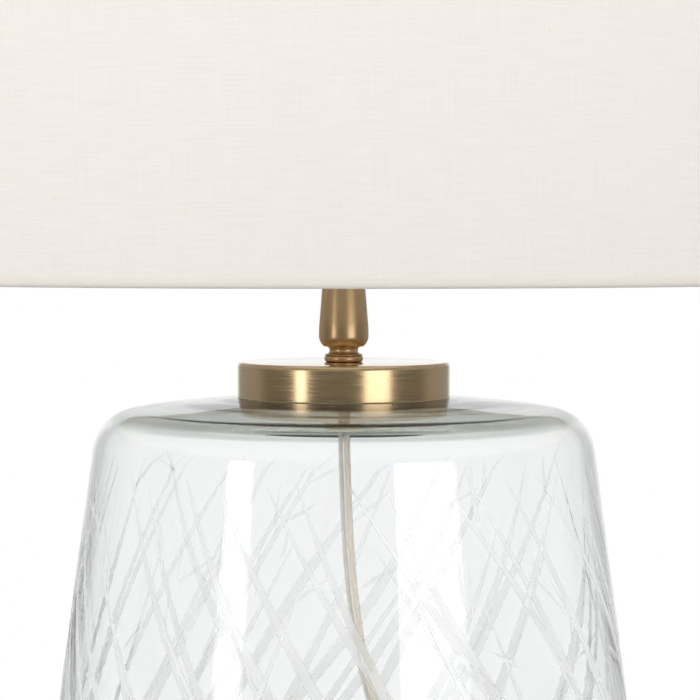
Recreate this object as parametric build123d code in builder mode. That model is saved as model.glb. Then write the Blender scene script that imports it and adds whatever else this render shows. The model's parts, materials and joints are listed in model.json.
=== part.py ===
from build123d import *
import os
from math import atan, cos, degrees, dist, pi, radians, sin, sqrt, tan

# Table lamp: tapered clear glass vessel, brass cap and turned neck, linen drum shade, clear twin flex.
# Sizes are in millimetres. The lamp stands on z = 0, its upright axis is Z, and its front faces -Y.

# Fits
slip = 0.1          # radial play of pieces that are pushed or screwed together
running_gap = 0.3   # radial play of a piece that turns
seat_gap = 0.2      # level play under a piece that turns
pin_play = 0.05     # radial play of the rocker on its pin

# Feet
pad_height = 2.0
pad_r = 7.0
pad_circle_r = 98.0
pad_count = 4
pad_edge = 0.5

# Glass vessel, blown, with a thick collar
glass_height = 268.4
glass_foot_r = 133.9          # where the straight wall would meet the underside
glass_shoulder_r = 98.2       # where the straight wall would meet the domed top
glass_shoulder_drop = 6.6     # that corner below the cap's rim
glass_dome_curve = 600.0
glass_shoulder_fillet = 18.0
glass_foot_fillet = 16.0
glass_wall = 4.0
glass_dome_wall = 2.4         # blown thinner over the shoulder
glass_floor = 8.0
glass_lip = 3.2               # the mouth's edge below the collar's root
glass_lip_round = 1.5
glass_mouth_r = 32.0
glass_collar_wall = 5.0
glass_collar_rise = 6.5
glass_punt_r = 76.0
glass_punt_rise = 4.0

# Cord hole at the back of the vessel, and its grommet
exit_azimuth = 50.0
exit_height = 30.0
exit_hole_r = 5.5
grommet_flange_r = 8.0
grommet_flange = 2.2
grommet_nose = 15.0
grommet_nose_root_r = 6.0
grommet_nose_tip_r = 4.2
grommet_bow = 0.4             # room for the hollow of the wall under the inner flange

# Brass cap over the mouth
cap_r = 42.5
cap_height = 14.1
cap_wall = 1.2
cap_edge = 1.8
seal_top_gap = 1.0

# Threaded tube with what clamps it under the cap
tube_r = 5.0
tube_bore_r = 4.0
tube_below_nut = 1.6
tube_above_neck = 7.0
washer_r = 12.0
washer_thick = 1.5
nut_across_flats = 14.0
nut_thick = 3.0
bush_wall = 0.8
bush_flange_r = 6.0
bush_flange = 1.5
bush_depth = 6.0

# Turned neck, with heights above its foot
ring_r = 7.8
ring_height = 2.6
neck_height = 42.4
neck_collar_r = 7.6
neck_collar_height = 0.5
neck_collar_bulge = 0.2
neck_waist_r = 5.8
neck_waist_height = 1.6
neck_step_r = 7.9
neck_step_height = 3.6
neck_belly_r = 10.0
neck_belly_low = 7.7
neck_belly_high = 10.7
neck_step = 1.0               # ledge under the belly
neck_throat_r = 7.7
neck_bead_height = 3.0
neck_bead_bulge = 0.7

# Lampholder for a 27 mm screw cap
holder_foot_r = 8.6
holder_foot_height = 4.0
holder_cup_r = 21.0
holder_cup_height = 22.5
holder_cup_flare = 15.5
holder_wall = 2.0
holder_floor = 6.0
skirt_r = 19.75
skirt_wall = 3.0
skirt_height = 32.0
skirt_flange_r = 23.5
skirt_flange = 2.5
skirt_spigot = 6.0
core_thick = 9.0
core_above_flange = 3.0
shell_wall = 0.55
shell_height = 24.0
contact_width = 6.0
contact_thick = 0.8
contact_rise = 2.2
contact_length = 9.0
contact_bend = 3.0
terminal_length = 7.0
terminal_width = 5.0
terminal_drop = 6.0
terminal_spread = 17.0
terminal_screw_r = 1.6

# Lamp with a pear-shaped envelope
lamp_r = 30.0
lamp_length = 106.0
lamp_cap_r = 13.05
lamp_cap_wall = 0.5
lamp_cap_height = 22.0
lamp_insulator = 2.5
lamp_insulator_tip_r = 7.0
lamp_button_r = 4.5
lamp_button = 1.0
lamp_neck_r = 13.8
lamp_neck_round = 22.0
lamp_glass = 1.0
lamp_round_angle = 30.0       # where the round of the envelope ends, below its widest level

# Drum shade and its carrier
shade_lift = 32.5             # lower edge above the cap's top
shade_r = 200.0
shade_height = 260.0
fabric = 0.6
lining = 0.8
wire_r = 1.6
hem_round = 1.7
carrier_r = 28.5
carrier_thick = 2.2
arm_count = 3
arm_level = 12.0              # level start of an arm at the carrier
arm_toe = 14.0                # steeper end of an arm at the wire ring
arm_toe_rise = 7.0
arm_bend = 12.0
arm_turn = 30.0
clamp_ring_r = 27.0
clamp_ring_height = 8.0
clamp_grip_r = 2.2
clamp_grips = 14

# Flat twin flex
cord_width = 5.4
cord_thick = 2.7
cord_in_gland = 4.0
cord_straight = 16.0          # straight run up to the grommet
bend_share = 0.45
cord_floor = cord_thick / 2 + 0.05

# Inline rocker switch
switch_length = 84.0
switch_body = 52.0
switch_width = 27.0
switch_nose = 11.0
switch_height = 16.0
switch_wall = 1.8
switch_corner = 8.0
switch_edge = 2.4
rocker_r = 11.5
rocker_width = 11.0
rocker_below = 3.0
rocker_above = 5.7
rocker_dish = 7.0             # tilt of each half of the rocker's face
rocker_slot_gap = 0.45
pivot_height = 11.5
pivot_r = 1.25
post_length = 5.0
post_wall = 3.0
post_over_pin = 2.0
post_gap = 0.4
switch_screw_r = 1.5
switch_screw_head_r = 2.7
switch_screw_sink = 0.3
switch_boss_r = 3.2
switch_screw_x = 19.0
switch_screw_y = 8.0

# Coil of the put-away length, with its tie
coil_r = 42.5
coil_inner_r = 21.7
layer_turns = 3.5             # the coil has two layers
layer_step = 3.5
climb_turns = 0.5
tie_width = 8.0
tie_thick = 0.8
tie_side_gap = 0.8
tie_level_gap = 0.5

# Two-pin plug
plug_length = 36.0
plug_front = 26.0
plug_width = 34.0
plug_rear = 15.0
plug_height = 14.0
plug_widest = 9.0             # from the front to the widest part, and that part's length
plug_edge = 2.4
plug_relief = 26.0
plug_relief_root = 12.0
plug_relief_root_thick = 9.0
plug_relief_tip = 8.6
plug_relief_tip_thick = 5.8
plug_pin_r = 2.0
plug_pin_length = 19.0
plug_pin_spacing = 19.0
plug_pin_round = 1.2

os.makedirs("parts", exist_ok=True)

# Levels and shared lines
foot_z = pad_height
cap_rim_z = foot_z + glass_height
cap_top_z = cap_rim_z + cap_height
shoulder_z = cap_rim_z - glass_shoulder_drop
wall_draft = atan((glass_foot_r - glass_shoulder_r) / (shoulder_z - foot_z))
wall_across = glass_wall / cos(wall_draft)
collar_r = glass_mouth_r + glass_collar_wall
dome_sink = (cap_r**2 - collar_r**2) / (2 * glass_dome_curve)   # the dome's fall from collar to cap
collar_root_z = cap_rim_z + dome_sink - slip
collar_top_z = collar_root_z + glass_collar_rise
neck_foot_z = cap_top_z + ring_height
neck_top_z = neck_foot_z + neck_height
flange_z = neck_top_z + holder_cup_height + skirt_flange
shade_z = cap_top_z + shade_lift
shade_top_z = shade_z + shade_height


def wall_r(z):
    """Outer radius of the vessel's straight wall at height z."""
    return glass_foot_r - (z - foot_z) * tan(wall_draft)


def around(radius, z):
    """Point at a radius and height in the upright plane through the cord hole."""
    return exit_out * radius + Vector(0, 0, z)


def bend_radii(route):
    """Radius at each corner of a route, as large as its two runs allow."""
    radii = []
    for before, corner, after in zip(route, route[1:], route[2:]):
        run_in = corner - before
        run_out = after - corner
        half_turn = radians(run_in.get_angle(run_out)) / 2
        radii.append(bend_share * min(run_in.length, run_out.length) / tan(half_turn))
    return radii


def section_plane(route, across):
    """Plane at a route's start, square to its first run, with its X axis across the flat cord."""
    return Plane(origin=route[0], x_dir=across, z_dir=route[1] - route[0])


def report_cord(name, cord, path, radii):
    """Print a cord's bends, and its volume against its section times its length."""
    section = (cord_width - cord_thick) * cord_thick + pi * (cord_thick / 2) ** 2
    length = path.wire().length
    bends = " ".join(f"{radius:.0f}" for radius in radii)
    print(f"{name}: length {length:.1f}, volume share {cord.part.volume / (section * length):.4f}, radii {bends}")


# Cord hole: it is square to the leaning wall
exit_out = Vector(cos(radians(exit_azimuth)), sin(radians(exit_azimuth)), 0)
exit_across = Vector(-exit_out.Y, exit_out.X, 0)
exit_normal = exit_out * cos(wall_draft) + Vector(0, 0, sin(wall_draft))
exit_point = around(wall_r(exit_height), exit_height)
exit_plane = Plane(origin=exit_point, x_dir=exit_across, z_dir=exit_normal)
grommet_inner = glass_wall + grommet_bow + grommet_flange
grommet_inner_point = exit_point - exit_normal * grommet_inner

# Glass vessel
with BuildPart() as glass_base:
    with BuildSketch(Plane.XZ) as vessel_outline:
        with BuildLine():
            RadiusArc(
                (0, foot_z + glass_punt_rise),
                (glass_punt_r, foot_z),
                (glass_punt_r**2 + glass_punt_rise**2) / (2 * glass_punt_rise),
            )
            Polyline((glass_punt_r, foot_z), (glass_foot_r, foot_z), (glass_shoulder_r, shoulder_z))
            RadiusArc((glass_shoulder_r, shoulder_z), (collar_r, collar_root_z), -glass_dome_curve)
            Polyline(
                (collar_r, collar_root_z),
                (collar_r, collar_top_z),
                (0, collar_top_z),
                (0, foot_z + glass_punt_rise),
            )
        make_face()
        fillet(vessel_outline.vertices().sort_by_distance((glass_foot_r, foot_z))[0], glass_foot_fillet)
        fillet(
            vessel_outline.vertices().sort_by_distance((glass_shoulder_r, shoulder_z))[0],
            glass_shoulder_fillet,
        )
    revolve(axis=Axis.Z)
    floor_z = foot_z + glass_floor
    inner_shoulder_z = shoulder_z - glass_dome_wall
    inner_foot = (wall_r(floor_z) - wall_across, floor_z)
    inner_shoulder = (wall_r(inner_shoulder_z) - wall_across, inner_shoulder_z)
    inner_lip_z = collar_root_z - glass_lip
    with BuildSketch(Plane.XZ) as vessel_cavity:
        with BuildLine():
            RadiusArc(
                (0, floor_z + glass_punt_rise),
                (glass_punt_r, floor_z),
                (glass_punt_r**2 + glass_punt_rise**2) / (2 * glass_punt_rise),
            )
            Polyline((glass_punt_r, floor_z), inner_foot, inner_shoulder)
            RadiusArc(inner_shoulder, (glass_mouth_r, inner_lip_z), -glass_dome_curve)
            Polyline(
                (glass_mouth_r, inner_lip_z),
                (glass_mouth_r, collar_top_z),
                (0, collar_top_z),
                (0, floor_z + glass_punt_rise),
            )
        make_face()
        fillet(vessel_cavity.vertices().sort_by_distance(inner_foot)[0], glass_foot_fillet - glass_wall)
        fillet(
            vessel_cavity.vertices().sort_by_distance(inner_shoulder)[0],
            glass_shoulder_fillet - glass_dome_wall,
        )
    revolve(axis=Axis.Z, mode=Mode.SUBTRACT)
    lip_edges = glass_base.edges().filter_by(GeomType.CIRCLE).group_by(Axis.Z)[-1]
    fillet(lip_edges, glass_lip_round)
    with BuildSketch(exit_plane):
        Circle(exit_hole_r)
    extrude(amount=grommet_inner, both=True, mode=Mode.SUBTRACT)
glass_base.part.label = "glass_base"
export_step(glass_base.part, "parts/glass_base.step")

# Foot pads
with BuildPart() as foot_pads:
    with BuildSketch():
        with PolarLocations(pad_circle_r, pad_count, start_angle=180 / pad_count):
            Circle(pad_r)
    extrude(amount=pad_height)
    chamfer(foot_pads.edges().group_by(Axis.Z)[0], pad_edge)
foot_pads.part.label = "foot_pads"
export_step(foot_pads.part, "parts/foot_pads.step")

# Grommet in the cord hole, with a tapered nose outside
with BuildPart() as cord_grommet:
    with BuildSketch(Plane(origin=exit_point, x_dir=exit_normal, z_dir=exit_across)):
        with BuildLine():
            Polyline(
                (-grommet_inner, 0),
                (-grommet_inner, grommet_flange_r),
                (-grommet_inner + grommet_flange, grommet_flange_r),
                (-grommet_inner + grommet_flange, exit_hole_r - slip),
                (slip, exit_hole_r - slip),
                (slip, grommet_flange_r),
                (grommet_flange, grommet_flange_r),
                (grommet_flange, grommet_nose_root_r),
                (grommet_flange + grommet_nose, grommet_nose_tip_r),
                (grommet_flange + grommet_nose, 0),
                close=True,
            )
        make_face()
    revolve(axis=Axis(exit_point, exit_normal))
    with BuildSketch(exit_plane):
        SlotOverall(cord_width + 2 * slip, cord_thick + 2 * slip)
    extrude(amount=grommet_inner + grommet_nose + grommet_flange, both=True, mode=Mode.SUBTRACT)
cord_grommet.part.label = "cord_grommet"
export_step(cord_grommet.part, "parts/cord_grommet.step")

# Brass cap, a spun shell that stands on the shoulder round the glass collar
with BuildPart() as brass_cap:
    with BuildSketch(Plane.XY.offset(cap_rim_z)):
        Circle(cap_r)
    extrude(amount=cap_height)
    fillet(brass_cap.edges().group_by(Axis.Z)[-1], cap_edge)
    with BuildSketch(Plane.XY.offset(cap_rim_z)):
        Circle(cap_r - cap_wall)
    extrude(amount=cap_height - cap_wall, mode=Mode.SUBTRACT)
    with BuildSketch(Plane.XY.offset(cap_rim_z)):
        Circle(tube_r + slip)
    extrude(amount=cap_height, mode=Mode.SUBTRACT)
brass_cap.part.label = "brass_cap"
export_step(brass_cap.part, "parts/brass_cap.step")

# Sealing ring that holds the cap on the glass collar
seal_z = collar_root_z + slip
with BuildPart() as cap_seal:
    with BuildSketch(Plane.XY.offset(seal_z)):
        Circle(cap_r - cap_wall - slip)
        Circle(collar_r + slip, mode=Mode.SUBTRACT)
    extrude(amount=glass_collar_rise - seal_top_gap)
cap_seal.part.label = "cap_seal"
export_step(cap_seal.part, "parts/cap_seal.step")

# Washer and hexagon nut that clamp the tube under the cap
washer_z = cap_top_z - cap_wall - washer_thick
with BuildPart() as cap_washer:
    with BuildSketch(Plane.XY.offset(washer_z)):
        Circle(washer_r)
        Circle(tube_r + slip, mode=Mode.SUBTRACT)
    extrude(amount=washer_thick)
cap_washer.part.label = "cap_washer"
export_step(cap_washer.part, "parts/cap_washer.step")

nut_z = washer_z - nut_thick
with BuildPart() as tube_nut:
    with BuildSketch(Plane.XY.offset(nut_z)):
        RegularPolygon(nut_across_flats / 2, 6, major_radius=False)
        Circle(tube_r + slip, mode=Mode.SUBTRACT)
    extrude(amount=nut_thick)
tube_nut.part.label = "tube_nut"
export_step(tube_nut.part, "parts/tube_nut.step")

# Threaded tube from under the nut up into the lampholder
tube_foot_z = nut_z - tube_below_nut
tube_top_z = neck_top_z + tube_above_neck
with BuildPart() as threaded_tube:
    with BuildSketch(Plane.XY.offset(tube_foot_z)):
        Circle(tube_r)
        Circle(tube_bore_r, mode=Mode.SUBTRACT)
    extrude(amount=tube_top_z - tube_foot_z)
threaded_tube.part.label = "threaded_tube"
export_step(threaded_tube.part, "parts/threaded_tube.step")

# Bush that keeps the flex off the tube's lower edge
with BuildPart() as tube_bush:
    with BuildSketch(Plane.XY.offset(tube_foot_z - bush_flange)):
        Circle(bush_flange_r)
    extrude(amount=bush_flange)
    with BuildSketch(Plane.XY.offset(tube_foot_z)):
        Circle(tube_bore_r - slip)
    extrude(amount=bush_depth)
    with BuildSketch(Plane.XY.offset(tube_foot_z - bush_flange)):
        Circle(tube_bore_r - slip - bush_wall)
    extrude(amount=bush_flange + bush_depth, mode=Mode.SUBTRACT)
tube_bush.part.label = "tube_bush"
export_step(tube_bush.part, "parts/tube_bush.step")

# Seat ring under the neck, with a rounded rim
with BuildPart() as seat_ring:
    with BuildSketch(Plane.XY.offset(cap_top_z)):
        Circle(ring_r)
        Circle(tube_r + slip, mode=Mode.SUBTRACT)
    extrude(amount=ring_height)
    ring_rims = seat_ring.edges().filter_by(GeomType.CIRCLE).group_by(SortBy.RADIUS)[-1]
    fillet(ring_rims, ring_height / 2 - slip)
seat_ring.part.label = "seat_ring"
export_step(seat_ring.part, "parts/seat_ring.step")

# Turned neck: narrow collar, waist, step, belly, long throat and top bead
with BuildPart() as turned_neck:
    with BuildSketch(Plane.XZ):
        with BuildLine():
            collar_bead = ThreePointArc(
                (neck_collar_r - neck_collar_bulge, neck_foot_z),
                (neck_collar_r, neck_foot_z + neck_collar_height / 2),
                (neck_collar_r - neck_collar_bulge, neck_foot_z + neck_collar_height),
            )
            cove = ThreePointArc(
                collar_bead @ 1,
                (neck_waist_r, neck_foot_z + neck_waist_height),
                (neck_step_r - neck_step, neck_foot_z + neck_step_height),
            )
            Line(cove @ 1, (neck_step_r, neck_foot_z + neck_step_height))
            TangentArc(
                (neck_belly_r, neck_foot_z + neck_belly_low),
                (neck_step_r, neck_foot_z + neck_step_height),
                tangent=(0, -1),
            )
            throat = Polyline(
                (neck_belly_r, neck_foot_z + neck_belly_low),
                (neck_belly_r, neck_foot_z + neck_belly_high),
                (neck_throat_r, neck_top_z - neck_bead_height),
            )
            top_bead = ThreePointArc(
                throat @ 1,
                (neck_throat_r + neck_bead_bulge, neck_top_z - neck_bead_height / 2),
                (neck_throat_r, neck_top_z),
            )
            Polyline(
                top_bead @ 1,
                (tube_r + slip, neck_top_z),
                (tube_r + slip, neck_foot_z),
                collar_bead @ 0,
            )
        make_face()
    revolve(axis=Axis.Z)
turned_neck.part.label = "turned_neck"
export_step(turned_neck.part, "parts/turned_neck.step")

# Lampholder cup, a flared shell on top of the neck
cup_inner_r = holder_cup_r - holder_wall
with BuildPart() as holder_cup:
    with BuildSketch(Plane.XZ):
        with BuildLine():
            Polyline(
                (tube_r + slip, neck_top_z),
                (holder_foot_r, neck_top_z),
                (holder_foot_r, neck_top_z + holder_foot_height),
                (holder_cup_r, neck_top_z + holder_cup_flare),
                (holder_cup_r, neck_top_z + holder_cup_height),
                (cup_inner_r, neck_top_z + holder_cup_height),
                (cup_inner_r, neck_top_z + holder_cup_flare),
                (holder_foot_r, neck_top_z + holder_floor),
                (tube_r + slip, neck_top_z + holder_floor),
                close=True,
            )
        make_face()
    revolve(axis=Axis.Z)
holder_cup.part.label = "holder_cup"
export_step(holder_cup.part, "parts/holder_cup.step")

# Threaded skirt, whose flange carries the shade
skirt_inner_r = skirt_r - skirt_wall
spigot_r = cup_inner_r - slip
spigot_z = flange_z - skirt_flange - skirt_spigot
with BuildPart() as holder_skirt:
    with BuildSketch(Plane.XZ):
        with BuildLine():
            Polyline(
                (skirt_inner_r, spigot_z),
                (spigot_r, spigot_z),
                (spigot_r, flange_z - skirt_flange),
                (skirt_flange_r, flange_z - skirt_flange),
                (skirt_flange_r, flange_z),
                (skirt_r, flange_z),
                (skirt_r, flange_z + skirt_height),
                (skirt_inner_r, flange_z + skirt_height),
                close=True,
            )
        make_face()
    revolve(axis=Axis.Z)
holder_skirt.part.label = "holder_skirt"
export_step(holder_skirt.part, "parts/holder_skirt.step")

# Insulating core with the screw shell and the sprung centre contact on it
core_top_z = flange_z + core_above_flange
core_z = core_top_z - core_thick
with BuildPart() as holder_core:
    with BuildSketch(Plane.XY.offset(core_z)):
        Circle(skirt_inner_r - slip)
    extrude(amount=core_thick)
holder_core.part.label = "holder_core"
export_step(holder_core.part, "parts/holder_core.step")

shell_r = lamp_cap_r + running_gap
with BuildPart() as screw_shell:
    with BuildSketch(Plane.XY.offset(core_top_z)):
        Circle(shell_r + shell_wall)
        Circle(shell_r, mode=Mode.SUBTRACT)
    extrude(amount=shell_height)
screw_shell.part.label = "screw_shell"
export_step(screw_shell.part, "parts/screw_shell.step")

contact_top = contact_rise + contact_thick
with BuildPart() as centre_contact:
    with BuildSketch(Plane(origin=(0, 0, core_top_z), x_dir=(1, 0, 0), z_dir=(0, -1, 0))):
        with BuildLine():
            Polyline(
                (-contact_length, 0),
                (-contact_bend, 0),
                (contact_bend, contact_rise),
                (contact_length, contact_rise),
                (contact_length, contact_top),
                (contact_bend - contact_thick / 2, contact_top),
                (-contact_bend - contact_thick / 2, contact_thick),
                (-contact_length, contact_thick),
                close=True,
            )
        make_face()
    extrude(amount=contact_width / 2, both=True)
centre_contact.part.label = "centre_contact"
export_step(centre_contact.part, "parts/centre_contact.step")

# Terminals under the core, each with its screw hole
with BuildPart() as holder_terminals:
    with BuildSketch(Plane.XY.offset(core_z)):
        with GridLocations(terminal_spread, 0, 2, 1):
            Rectangle(terminal_width, terminal_length)
    extrude(amount=-terminal_drop)
    with BuildSketch(Plane.YZ.offset(-terminal_spread)):
        with Locations((0, core_z - terminal_drop / 2)):
            Circle(terminal_screw_r)
    extrude(amount=2 * terminal_spread, mode=Mode.SUBTRACT)
holder_terminals.part.label = "holder_terminals"
export_step(holder_terminals.part, "parts/holder_terminals.step")

# Lamp: contact button, insulator, screw cap and pear-shaped envelope
lamp_tip_z = core_top_z + contact_top + running_gap
insulator_z = lamp_tip_z + lamp_button
lamp_cap_z = insulator_z + lamp_insulator
lamp_glass_z = lamp_cap_z + lamp_cap_height
lamp_mid_z = lamp_tip_z + lamp_length - lamp_r

with BuildPart() as lamp_contact:
    with BuildSketch(Plane.XY.offset(lamp_tip_z)):
        Circle(lamp_button_r)
    extrude(amount=lamp_button)
    fillet(lamp_contact.edges().group_by(Axis.Z)[0], lamp_button / 2)
lamp_contact.part.label = "lamp_contact"
export_step(lamp_contact.part, "parts/lamp_contact.step")

with BuildPart() as lamp_insulator_cone:
    with BuildSketch(Plane.XY.offset(insulator_z)):
        Circle(lamp_insulator_tip_r)
    with BuildSketch(Plane.XY.offset(lamp_cap_z)):
        Circle(lamp_cap_r - slip)
    loft()
lamp_insulator_cone.part.label = "lamp_insulator"
export_step(lamp_insulator_cone.part, "parts/lamp_insulator.step")

with BuildPart() as lamp_cap:
    with BuildSketch(Plane.XY.offset(lamp_cap_z)):
        Circle(lamp_cap_r)
        Circle(lamp_cap_r - lamp_cap_wall, mode=Mode.SUBTRACT)
    extrude(amount=lamp_cap_height)
lamp_cap.part.label = "lamp_cap"
export_step(lamp_cap.part, "parts/lamp_cap.step")


def pear_face(inset):
    """Half section of the lamp's envelope, inset from its outer face."""
    ball_r = lamp_r - inset
    stem_r = lamp_neck_r - inset
    fall = radians(lamp_round_angle)
    round_end = (ball_r * cos(fall), lamp_mid_z - ball_r * sin(fall))
    stem_top = (stem_r, round_end[1] - (round_end[0] - stem_r) / tan(fall))
    with BuildSketch(Plane.XZ) as half:
        with BuildLine():
            Polyline((0, lamp_glass_z), (stem_r, lamp_glass_z), stem_top, round_end)
            ThreePointArc(round_end, (ball_r * cos(fall), lamp_mid_z + ball_r * sin(fall)), (0, lamp_mid_z + ball_r))
            Line((0, lamp_mid_z + ball_r), (0, lamp_glass_z))
        make_face()
        fillet(half.vertices().sort_by_distance(stem_top)[0], lamp_neck_round + inset)
    return half.sketch


with BuildPart() as lamp_envelope:
    revolve(pear_face(0), axis=Axis.Z)
    revolve(pear_face(lamp_glass), axis=Axis.Z, mode=Mode.SUBTRACT)
lamp_envelope.part.label = "lamp_envelope"
export_step(lamp_envelope.part, "parts/lamp_envelope.step")

# Shade carrier: flat ring on the lampholder's flange
carrier_z = flange_z + seat_gap
with BuildPart() as shade_carrier:
    with BuildSketch(Plane.XY.offset(carrier_z)):
        Circle(carrier_r)
        Circle(skirt_r + running_gap, mode=Mode.SUBTRACT)
    extrude(amount=carrier_thick)
shade_carrier.part.label = "shade_carrier"
export_step(shade_carrier.part, "parts/shade_carrier.step")

# Wire rings inside the hems of the shade
wire_circle_r = shade_r - fabric - lining - 2 * slip - wire_r
hem_depth = fabric + slip + wire_r
low_wire_z = shade_z + hem_depth
high_wire_z = shade_top_z - hem_depth


def wire_ring_face(level, radius):
    """Section of a wire ring at a level, on the +X side."""
    with BuildSketch(Plane.XZ) as section:
        with Locations((wire_circle_r, level)):
            Circle(radius)
    return section.sketch


with BuildPart() as shade_low_ring:
    revolve(wire_ring_face(low_wire_z, wire_r), axis=Axis.Z)
shade_low_ring.part.label = "shade_low_ring"
export_step(shade_low_ring.part, "parts/shade_low_ring.step")

with BuildPart() as shade_top_ring:
    revolve(wire_ring_face(high_wire_z, wire_r), axis=Axis.Z)
shade_top_ring.part.label = "shade_top_ring"
export_step(shade_top_ring.part, "parts/shade_top_ring.step")


def arm_at(radius):
    """One wire arm from the carrier's rim to the lower wire ring, along +X."""
    arm_z = carrier_z + carrier_thick / 2
    with BuildPart() as arm:
        with BuildLine(Plane.XZ):
            line = FilletPolyline(
                (carrier_r - wire_r, arm_z),
                (carrier_r + arm_level, arm_z),
                (wire_circle_r - arm_toe, low_wire_z + arm_toe_rise),
                (wire_circle_r, low_wire_z),
                radius=arm_bend,
            )
        with BuildSketch(Plane(origin=line @ 0, z_dir=line % 0)):
            Circle(radius)
        sweep()
    return arm.part


# Arms, welded to the carrier's rim and to the lower ring
with BuildPart() as shade_arms:
    with PolarLocations(0, arm_count, start_angle=arm_turn):
        add(arm_at(wire_r))
    with BuildSketch(Plane.XY.offset(carrier_z - wire_r)):
        Circle(carrier_r)
    extrude(amount=carrier_thick + 2 * wire_r, mode=Mode.SUBTRACT)
    revolve(wire_ring_face(low_wire_z, wire_r + slip), axis=Axis.Z, mode=Mode.SUBTRACT)
shade_arms.part.label = "shade_arms"
export_step(shade_arms.part, "parts/shade_arms.step")

# Linen cover, rolled round both wire rings, with notches for the arms
with BuildPart() as shade_fabric:
    hem_outer_r = wire_circle_r - wire_r - slip
    hem_inner_r = hem_outer_r - fabric
    with BuildSketch(Plane.XZ) as cover:
        with BuildLine():
            Polyline(
                (shade_r, shade_z),
                (shade_r, shade_top_z),
                (hem_inner_r, shade_top_z),
                (hem_inner_r, shade_top_z - hem_depth),
                (hem_outer_r, shade_top_z - hem_depth),
                (hem_outer_r, shade_top_z - fabric),
                (shade_r - fabric, shade_top_z - fabric),
                (shade_r - fabric, shade_z + fabric),
                (hem_outer_r, shade_z + fabric),
                (hem_outer_r, shade_z + hem_depth),
                (hem_inner_r, shade_z + hem_depth),
                (hem_inner_r, shade_z),
                close=True,
            )
        make_face()
        rims = cover.vertices().group_by(Axis.Y)
        fillet(rims[0] + rims[-1], hem_round)
    revolve(axis=Axis.Z)
    with PolarLocations(0, arm_count, start_angle=arm_turn):
        add(arm_at(wire_r + running_gap), mode=Mode.SUBTRACT)
shade_fabric.part.label = "shade_fabric"
export_step(shade_fabric.part, "parts/shade_fabric.step")

# Stiff lining behind the linen
with BuildPart() as shade_lining:
    with BuildSketch(Plane.XY.offset(shade_z + fabric + slip)):
        Circle(shade_r - fabric - slip)
        Circle(shade_r - fabric - slip - lining, mode=Mode.SUBTRACT)
    extrude(amount=shade_height - 2 * (fabric + slip))
shade_lining.part.label = "shade_lining"
export_step(shade_lining.part, "parts/shade_lining.step")

# Clamp ring that screws down on the carrier, with finger grips
clamp_z = carrier_z + carrier_thick + seat_gap
with BuildPart() as clamp_ring:
    with BuildSketch(Plane.XY.offset(clamp_z)):
        Circle(clamp_ring_r)
        Circle(skirt_r + running_gap, mode=Mode.SUBTRACT)
        with PolarLocations(clamp_ring_r + clamp_grip_r / 2, clamp_grips):
            Circle(clamp_grip_r, mode=Mode.SUBTRACT)
    extrude(amount=clamp_ring_height)
clamp_ring.part.label = "clamp_ring"
export_step(clamp_ring.part, "parts/clamp_ring.step")

# Flex inside: from the lampholder down the tube, hanging in the vessel, to the grommet
cord_top_z = tube_top_z + cord_in_gland
inner_route = [
    around(0, cord_top_z),
    around(0, 258.0),
    around(1.2, 226.0),
    around(4.0, 196.0),
    around(9.5, 168.0),
    around(18.0, 144.0),
    around(30.0, 117.0),
    around(43.5, 90.0),
    around(58.0, 64.0),
    around(73.0, 44.0),
    around(89.5, 31.8),
    grommet_inner_point - exit_normal * cord_straight,
    grommet_inner_point,
]
inner_radii = bend_radii(inner_route)
with BuildPart() as flex_inner:
    with BuildLine() as inner_path:
        FilletPolyline(*inner_route, radius=inner_radii)
    with BuildSketch(section_plane(inner_route, exit_across)):
        SlotOverall(cord_width, cord_thick)
    sweep()
flex_inner.part.label = "flex_inner"
export_step(flex_inner.part, "parts/flex_inner.step")
report_cord("flex_inner", flex_inner, inner_path, inner_radii)

# Flex outside: through the grommet, down to the table, and round behind the vessel to the switch
switch_mid_z = switch_height / 2
tail_route = [
    grommet_inner_point,
    exit_point + exit_normal * (grommet_flange + grommet_nose + 2 * cord_width),
    around(172.5, 29.2),
    around(185.4, 19.8),
    around(196.4, 11.2),
    around(209.2, 5.5),
    around(222.9, 2.6),
    around(237.4, cord_floor),
    Vector(158.2, 195.8, cord_floor),
    Vector(158.2, 210.8, cord_floor),
    Vector(152.6, 224.7, cord_floor),
    Vector(142.2, 235.5, cord_floor),
    Vector(128.5, 241.6, cord_floor),
    Vector(113.6, 243.2, cord_floor),
    Vector(98.8, 243.2, 3.7),
    Vector(82.0, 243.2, switch_mid_z),
    Vector(66.0, 243.2, switch_mid_z),
]
tail_radii = bend_radii(tail_route)
with BuildPart() as flex_tail:
    with BuildLine() as tail_path:
        FilletPolyline(*tail_route, radius=tail_radii)
    with BuildSketch(section_plane(tail_route, exit_across)):
        SlotOverall(cord_width, cord_thick)
    sweep()
flex_tail.part.label = "flex_tail"
export_step(flex_tail.part, "parts/flex_tail.step")
report_cord("flex_tail", flex_tail, tail_path, tail_radii)

# Inline switch: it lies on the table with its length along X
switch_x = tail_route[-1].X + cord_in_gland - switch_length / 2
switch_y = tail_route[-1].Y
switch_floor = Plane(origin=(switch_x, switch_y, 0))
switch_split = Plane(origin=(switch_x, switch_y, switch_mid_z))
switch_end = Plane(origin=(switch_x, switch_y, switch_mid_z), x_dir=(0, 1, 0), z_dir=(1, 0, 0))
switch_screw_spots = [(switch_screw_x, switch_screw_y), (-switch_screw_x, -switch_screw_y)]
rocker_slot = 2 * (rocker_r + rocker_slot_gap)
rocker_slot_width = rocker_width + 2 * rocker_slot_gap


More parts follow.
